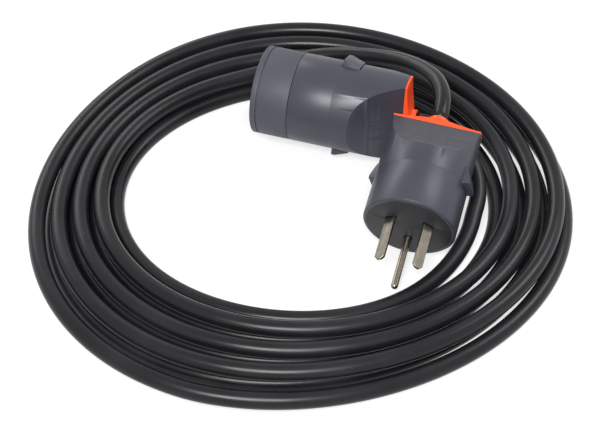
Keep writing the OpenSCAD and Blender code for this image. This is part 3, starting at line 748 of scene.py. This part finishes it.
class CORD_OT_ring(Maker, bpy.types.Operator):
    """Turns the locking ring with its groove"""

    bl_idname = "shore_cord.ring"
    bl_label = "Locking ring"

    def make(self, scene):
        e, ring = scene.cord_end, scene.cord_ring
        out, edge = e.body_d / 2, e.sharp_edge * 1.25
        inside = out - ring.wall
        low = e.con_sleeve_l + ring.gap
        front = low + ring.ring_l
        groove = front - ring.groove_from
        nose = inside - ring.gap
        room = nose + ring.bead_h + ring.gap
        bead_low = e.con_sleeve_l + ring.bead_from - ring.gap
        bead_high = bead_low + ring.bead_l + 2 * ring.gap
        model = spun("ring_model", [
            (inside, low), (out, low), (out, groove), (out - ring.groove_t, groove),
            (out - ring.groove_t, groove + ring.groove_w), (out, groove + ring.groove_w),
            (out, front), (inside, front), (inside, bead_high), (room, bead_high),
            (room, bead_low), (inside, bead_low),
        ])
        rounded(model, edge, segments=3)
        skin = matt_ring(scene.cord_finish)
        place(model, "locking_ring", "moulding", connector_place(e), "ring", "matt_ring", skin)
        discard(model)


# ---- inserts and pins ----


def blade_places(p):
    """The places of the left and of the right blade on a face."""
    turn = Matrix.Rotation(p.pin_turn, 4, "Z")
    return [
        turn
        @ Matrix.Translation((side * p.pitch / 2, p.up, 0))
        @ Matrix.Rotation(-side * p.blade_turn, 4, "Z")
        for side in (-1, 1)
    ]


def ground_place(p):
    """The place of the round pin on a face."""
    return Matrix.Rotation(p.pin_turn, 4, "Z") @ Matrix.Translation((0, -p.ground_down, 0))


def slot_cutters(p, grow, low, high):
    """Cutters for two blades and a round pin, each wider than its pin by a gap on every side."""
    w, t = p.blade_w / 2 + grow, p.blade_t / 2 + grow
    made = [turned(block("slot", (-w, -t, low), (w, t, high)), m) for m in blade_places(p)]
    r = p.ground_d / 2 + grow
    hole = spun("hole", [(0, low), (r, low), (r, high), (0, high)], SMALL_STEPS)
    return [*made, turned(hole, ground_place(p))]


class CORD_OT_inserts(Maker, bpy.types.Operator):
    """Turns the plug's and the socket's dark insert and cuts their slots"""

    bl_idname = "shore_cord.inserts"
    bl_label = "Inserts"

    def make(self, scene):
        e, p, ring = scene.cord_end, scene.cord_pins, scene.cord_ring
        skin = pressed_insert(scene.cord_finish)
        low, top = e.plug_sleeve_l - p.insert_l, e.plug_sleeve_l
        r = e.body_d / 2 - e.wall - e.fit_gap
        plug = spun("plug_face_model", [(0, low), (r, low), (r, top), (0, top)])
        combine(plug, slot_cutters(p, e.fit_gap, low - MM, top + MM))
        combine(plug, slot_cutters(p, p.recess, top - p.recess_deep, top + MM))
        top = e.con_sleeve_l + ring.gap + ring.ring_l - p.mouth_l
        low, room = top - p.socket_front - p.contact_l, 1.9 * MM
        r = e.body_d / 2 - ring.wall - ring.gap - e.wall - e.fit_gap
        socket = spun("socket_face_model", [(0, low), (r, low), (r, top), (0, top)])
        combine(socket, slot_cutters(p, p.socket_gap, top - p.socket_front - MM, top + MM))
        combine(socket, slot_cutters(p, room, low - MM, top - p.socket_front))
        for model in (plug, socket):
            rounded(model, e.sharp_edge, segments=2)
        place_on_ends(e, plug, socket, "face", "pressing", "dark_insert", skin)


def terminal(p, seat):
    """The terminal block behind a pin, with the bore for its screw."""
    half, deep, r, reach = 3.7 * MM, 7 * MM, 1.65 * MM, 3.15 * MM
    made = block("terminal", (-half, -half, seat - deep), (half, half, seat))
    bore = spun("bore", [(0, 0), (r, 0), (r, 5 * MM), (0, 5 * MM)], SMALL_STEPS)
    floor = Matrix.Translation((0, half - reach, seat - deep / 2))
    combine(made, [turned(bore, floor @ Matrix.Rotation(-pi / 2, 4, "X"))])
    return made


class CORD_OT_pins(Maker, bpy.types.Operator):
    """Models the flat blade, which is copied, and the round pin"""

    bl_idname = "shore_cord.pins"
    bl_label = "Pins"

    def make(self, scene):
        e, p = scene.cord_end, scene.cord_pins
        skin = plated_pin(scene.cord_finish)
        seat = e.plug_sleeve_l - p.insert_l
        tip, w, cut = e.plug_sleeve_l + p.blade_out, p.blade_w / 2, p.tip_chamfer
        edge = e.sharp_edge * 1.4
        sides = [
            (-w, seat - MM), (w, seat - MM), (w, tip - cut),
            (w - cut, tip), (cut - w, tip), (-w, tip - cut),
        ]
        blade = extruded("blade_model", [(x, -p.blade_t / 2, z) for x, z in sides], (0, p.blade_t, 0))
        combine(blade, [terminal(p, seat)], "UNION")
        rounded(blade, edge, segments=3)
        for node, matrix in zip(("plug_blade_left", "plug_blade_right"), blade_places(p)):
            place(blade, node, "strip", plug_place() @ matrix, "cord", "plated_pins", skin)
        r, tip, steps = p.ground_d / 2, e.plug_sleeve_l + p.ground_out, 12
        turns = [pi / 2 * i / steps for i in range(steps)]
        dome = [(r * cos(a), tip - r * (1 - sin(a))) for a in turns]
        pin = spun("pin_model", [(0, seat - MM), (r, seat - MM), *dome, (0, tip)], SMALL_STEPS)
        combine(pin, [turned(terminal(p, seat), Matrix.Rotation(pi, 4, "Z"))], "UNION")
        rounded(pin, e.sharp_edge, segments=2, limit=35)
        place(pin, "plug_ground_pin", "rod", plug_place() @ ground_place(p), "cord", "plated_pins", skin)
        discard(blade, pin)


# ---- materials ----


def feed(tree, node, inputs):
    """Sets or links inputs of a shader node."""
    for key, value in inputs.items():
        if isinstance(value, bpy.types.NodeSocket):
            tree.links.new(value, node.inputs[key])
        else:
            node.inputs[key].default_value = value


def add(tree, kind, inputs=None, **settings):
    """Adds a shader node with its settings and its inputs."""
    node = tree.nodes.new("ShaderNode" + kind)
    for key, value in settings.items():
        setattr(node, key, value)
    feed(tree, node, inputs or {})
    return node


def per(mm):
    """Scale of a pattern that repeats about every so many millimetres."""
    return 1 / (mm * MM)


def begin_material(name, base, **values):
    """A material with a plain glossy shader, or the one of that name if it was made before."""
    made = bpy.data.materials.get(name)
    if made:
        return made, None, None
    made = bpy.data.materials.new(name)
    made.use_nodes = True
    shader = made.node_tree.nodes["Principled BSDF"]
    shader.inputs["Base Color"].default_value = (*base, 1)
    feed(made.node_tree, shader, values)
    return made, made.node_tree, shader


def shade(base, factor):
    """A colour made lighter or darker."""
    return (*[min(1, part * factor) for part in base], 1)


def ranged(tree, value, low, high, start=0.0, end=1.0):
    """A socket that runs from low to high as the value runs from start to end."""
    return add(tree, "MapRange", {
        "Value": value, "From Min": start, "From Max": end, "To Min": low, "To Max": high,
    }).outputs[0]


def object_place(tree):
    """The place on a piece, in metres."""
    return add(tree, "TexCoord").outputs["Object"]


def noise(tree, where, mm, detail):
    """A noise that repeats about every so many millimetres."""
    return add(tree, "TexNoise", {"Vector": where, "Scale": per(mm), "Detail": detail}).outputs["Fac"]


def stretched(tree, along, along_mm, round_mm, detail):
    """A noise with one size along the cable and another round it."""
    where = add(tree, "Mapping", {"Vector": along, "Scale": (per(along_mm), per(round_mm), 1)})
    inputs = {"Vector": where.outputs[0], "Scale": 1.0, "Detail": detail}
    return add(tree, "TexNoise", inputs).outputs["Fac"]


def blend(tree, pattern, a, b, start=0.35, end=0.65):
    """A colour that runs from a to b as the pattern runs from start to end."""
    factor = ranged(tree, pattern, 0, 1, start, end)
    return add(tree, "Mix", {"Factor": factor, "A": a, "B": b}, data_type="RGBA").outputs["Result"]


def bump(tree, height, strength, mm, **under):
    """The normal over bumps so many millimetres high."""
    inputs = {"Height": height, "Strength": strength, "Distance": mm * MM, **under}
    return add(tree, "Bump", inputs).outputs[0]


def extruded_pvc(f):
    """Flexible PVC, extruded: a smooth waxy black, with faint lines along it and a dull bloom in places."""
    made, tree, shader = begin_material(
        "extruded_PVC_jacket", f.cable, **{"Roughness": 0.28, "IOR": 1.53, "Specular IOR Level": 0.2}
    )
    if tree is None:
        return made
    along = add(tree, "UVMap", uv_map="along").outputs[0]
    lines = stretched(tree, along, 60, 1.1, 3)
    lay = stretched(tree, along, 30, 12, 1)
    bloom = noise(tree, object_place(tree), 38, 4)
    feed(tree, shader, {
        "Base Color": blend(tree, bloom, shade(f.cable, 0.85), shade(f.cable, 1.35), 0.42, 0.72),
        "Roughness": ranged(tree, bloom, 0.23, 0.34, 0.35, 0.7),
        "Normal": bump(tree, lines, 0.25, 0.06, Normal=bump(tree, lay, 0.35, 0.5)),
    })
    return made


def moulded_housing(f):
    """Filled PVC, injection moulded in a lightly spark-eroded tool: semi-matt, with an even fine grain."""
    return grained("moulded_PVC_housing", f.housing, 0.38, grain_mm=0.35, strength=0.25, speckle=0.02)


def matt_ring(f):
    """The same plastic from a coarser eroded tool: matt, with a speckle that the eye can just see."""
    return grained("eroded_PVC_ring", f.ring, 0.56, grain_mm=0.4, strength=0.6, speckle=0.06)


def grained(name, base, roughness, grain_mm, strength, speckle):
    """A moulded plastic whose grain is drawn coarse enough to show at a hand's distance."""
    made, tree, shader = begin_material(
        name, base, **{"Roughness": roughness, "IOR": 1.5, "Specular IOR Level": 0.42}
    )
    if tree is None:
        return made
    where = object_place(tree)
    cloud, spots = noise(tree, where, 26, 3), noise(tree, where, grain_mm * 2.2, 3)
    tone = blend(tree, cloud, shade(base, 0.95), shade(base, 1.05))
    feed(tree, shader, {
        "Base Color": blend(tree, spots, tone, shade(base, 1 + 3 * speckle), 0.4, 0.62),
        "Roughness": ranged(tree, cloud, roughness - 0.05, roughness + 0.06, 0.3, 0.7),
        "Normal": bump(tree, noise(tree, where, grain_mm, 2), strength, 0.05),
    })
    return made


def moulded_cap(f):
    """Soft thermoplastic, moulded: bright orange and smooth, with a slightly uneven tone."""
    made, tree, shader = begin_material("moulded_TPE_cap", f.cap, Roughness=0.4, IOR=1.5)
    if tree is None:
        return made
    where = object_place(tree)
    feed(tree, shader, {
        "Base Color": blend(tree, noise(tree, where, 9, 3), shade(f.cap, 0.93), shade(f.cap, 1.04)),
        "Normal": bump(tree, noise(tree, where, 0.5, 2), 0.25, 0.04),
    })
    return made


def pressed_insert(f):
    """Glass-filled nylon: near black and matt, with a faint mottle of the filler at its surface."""
    return grained("pressed_nylon_insert", f.insert, 0.55, grain_mm=0.5, strength=0.3, speckle=0.06)


def moulded_grip(f):
    """Black nylon, moulded: satin, with an even fine grain."""
    return grained("moulded_nylon_grip", f.nylon, 0.45, grain_mm=0.5, strength=0.3, speckle=0.05)


def drawn_metal(name, base, roughness, line_mm, strength, stretch):
    """A metal with fine lines along one direction, from drawing, rolling or turning."""
    made, tree, shader = begin_material(name, base, Metallic=1.0, Roughness=roughness)
    if tree is None:
        return made
    where = object_place(tree)
    drawn = add(tree, "Mapping", {"Vector": where, **stretch}).outputs[0]
    lines, cloud = noise(tree, drawn, line_mm, 4), noise(tree, where, 5, 3)
    feed(tree, shader, {
        "Base Color": blend(tree, cloud, shade(base, 0.86), shade(base, 1.05)),
        "Roughness": ranged(tree, lines, roughness - 0.06, roughness + 0.12, 0.3, 0.7),
        "Normal": bump(tree, lines, strength, 0.03),
    })
    return made


def plated_pin(f):
    """Nickel on stamped brass: warm grey mirror with fine lines from the strip and from use."""
    turn = plug_place().to_euler()
    stretch = {"Rotation": (-turn.x, -turn.y, -turn.z), "Scale": (1, 1, 0.06)}
    return drawn_metal("nickel_plated_brass", f.nickel, 0.16, line_mm=0.5, strength=0.12, stretch=stretch)


def bare_brass(f):
    """Brass, stamped and drawn: yellow, with short drawing lines."""
    stretch = {"Scale": (0.2, 1, 1)}
    return drawn_metal("stamped_brass", f.brass, 0.32, line_mm=0.4, strength=0.2, stretch=stretch)


def bright_steel(f):
    """Zinc-plated steel screws: pale grey, with turning marks."""
    stretch = {"Scale": (1, 1, 0.2)}
    return drawn_metal("zinc_plated_steel", f.steel, 0.3, line_mm=0.4, strength=0.2, stretch=stretch)


def core_insulation(name, code):
    """PVC insulation of a core: smooth and satin, in its colour."""
    return grained(name, linear(code), 0.4, grain_mm=0.6, strength=0.2, speckle=0.03)


def extruded_jacket_end(f):
    """The cable's own PVC inside an end, where no lines can be followed along it."""
    return grained("cut_PVC_jacket", f.cable, 0.38, grain_mm=0.8, strength=0.2, speckle=0.04)


class CORD_OT_inner_parts(Maker, bpy.types.Operator):
    """Finishes the CAD's own inner pieces: grips, screws, jacket ends, cores and contacts"""

    bl_idname = "shore_cord.inner_parts"
    bl_label = "Inner parts"

    def make(self, scene):
        f = scene.cord_finish
        finishes = {
            "grip_lower": moulded_grip(f), "grip_upper": moulded_grip(f),
            "grip_screws": bright_steel(f), "terminal_screws": bare_brass(f),
            "jacket": extruded_jacket_end(f),
            "core_left": core_insulation("PVC_core_black", "#1f1f22"),
            "core_right": core_insulation("PVC_core_white", "#dcdcd6"),
            "core_ground": core_insulation("PVC_core_green", "#2f8f4a"),
            "contact_left": bare_brass(f), "contact_right": bare_brass(f),
            "contact_ground": bare_brass(f),
        }
        for end in ("plug", "socket"):
            for part, finish in finishes.items():
                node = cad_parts.get(f"{end}_{part}")
                if node is not None:
                    node.data.materials.clear()
                    node.data.materials.append(finish)


# ---- stage ----


def seen_directly(tree):
    """1 for a ray from the camera, from a reflection or through a clear piece, and 0 for any other."""
    path = add(tree, "LightPath").outputs
    direct = path["Is Camera Ray"]
    for kind in ("Is Glossy Ray", "Is Transmission Ray"):
        direct = add(tree, "Math", {0: direct, 1: path[kind]}, operation="MAXIMUM").outputs[0]
    return direct


def floor_material():
    """A matt white sweep: white to the camera, with the shadow that the cord throws."""
    made = bpy.data.materials.new("matt_white_sweep")
    made.use_nodes = True
    tree = made.node_tree
    tree.nodes.clear()
    grain = add(tree, "TexNoise", {"Scale": per(40), "Detail": 2}).outputs["Fac"]
    fibres = {"Color": (0.82, 0.82, 0.82, 1), "Roughness": ranged(tree, grain, 0.0, 0.05)}
    paper = add(tree, "BsdfDiffuse", fibres).outputs[0]
    glow = add(tree, "Emission", {"Strength": BACKGROUND}).outputs[0]
    lift = add(tree, "Emission", {"Strength": 0.12}).outputs[0]
    seen = add(tree, "MixShader", {"Fac": 0.5, 1: glow, 2: paper}).outputs[0]
    shown = add(tree, "AddShader", {0: seen, 1: lift}).outputs[0]
    choice = add(tree, "MixShader", {"Fac": seen_directly(tree), 1: paper, 2: shown}).outputs[0]
    add(tree, "OutputMaterial", {"Surface": choice})
    return made


def studio_world(ambient):
    """An even white room that the camera and reflections see as white."""
    world = bpy.data.worlds.new("studio")
    bpy.context.scene.world = world
    world.use_nodes = True
    tree = world.node_tree
    tree.nodes.clear()
    plain = add(tree, "Background", {"Strength": ambient}).outputs[0]
    white = add(tree, "Background", {"Color": (1, 1, 1, 1), "Strength": BACKGROUND}).outputs[0]
    choice = add(tree, "MixShader", {"Fac": seen_directly(tree), 1: plain, 2: white}).outputs[0]
    add(tree, "OutputWorld", {"Surface": choice})


def lamp(name, at, size, size_y, power):
    """A soft rectangular lamp that points at the cord."""
    deselect()
    aim = (Vector((0, 0, 0.02)) - Vector(at)).to_track_quat("-Z", "Y").to_euler()
    bpy.ops.object.light_add(type="AREA", location=at, rotation=aim)
    made = bpy.context.active_object
    made.name = name
    made.data.shape = "RECTANGLE"
    made.data.size, made.data.size_y = size, size_y
    made.data.energy = power


class CORD_OT_stage(Maker, bpy.types.Operator):
    """Sets up the camera, the white floor and the soft lamps"""

    bl_idname = "shore_cord.stage"
    bl_label = "Stage"

    def make(self, scene):
        s = scene.cord_stage
        deselect()
        bpy.ops.object.camera_add(location=s.camera_at, rotation=(s.camera_tilt, 0, 0))
        camera = bpy.context.active_object
        camera.data.lens = s.lens
        camera.data.sensor_width = 36
        camera.data.clip_start, camera.data.clip_end = 0.01, 30
        scene.camera = camera
        deselect()
        bpy.ops.mesh.primitive_plane_add(size=8, location=(0, 0, -0.1 * MM))
        floor = bpy.context.active_object
        floor.name = "floor"
        floor.data.materials.append(floor_material())
        studio_world(s.ambient)
        lamp("key_lamp", at=(-0.12, -0.85, 1.02), size=0.5, size_y=0.5, power=s.key)
        lamp("rim_lamp", at=(0.95, 0.42, 1.1), size=0.6, size_y=0.6, power=s.rim)
        lamp("back_lamp", at=(-0.7, 1.1, 0.8), size=1.2, size_y=0.4, power=s.back)
        scene.view_settings.view_transform = "Standard"


# ---- panel and run ----

OPERATORS = (
    CORD_OT_stage, CORD_OT_cable, CORD_OT_sleeves, CORD_OT_shells, CORD_OT_catches,
    CORD_OT_caps, CORD_OT_ring, CORD_OT_inserts, CORD_OT_pins, CORD_OT_inner_parts,
)


class CORD_PT_panel(bpy.types.Panel):
    """Lists the pieces of the cord"""

    bl_label = "Shore Cord"
    bl_space_type = "VIEW_3D"
    bl_region_type = "UI"
    bl_category = "Shore Cord"

    def draw(self, context):
        for operator in OPERATORS:
            self.layout.operator(operator.bl_idname)


def register():
    """Registers the settings, the operators and the panel."""
    for name, group in GROUPS.items():
        bpy.utils.register_class(group)
        setattr(bpy.types.Scene, name, PointerProperty(type=group))
    for kind in (*OPERATORS, CORD_PT_panel):
        bpy.utils.register_class(kind)


def unregister():
    """Takes away what register made."""
    for kind in (CORD_PT_panel, *reversed(OPERATORS)):
        bpy.utils.unregister_class(kind)
    for name, group in GROUPS.items():
        delattr(bpy.types.Scene, name)
        bpy.utils.unregister_class(group)


def main():
    """Makes every piece in order."""
    register()
    for operator in OPERATORS:
        group, name = operator.bl_idname.split(".")
        getattr(getattr(bpy.ops, group), name)()


if __name__ == "__main__":
    main()
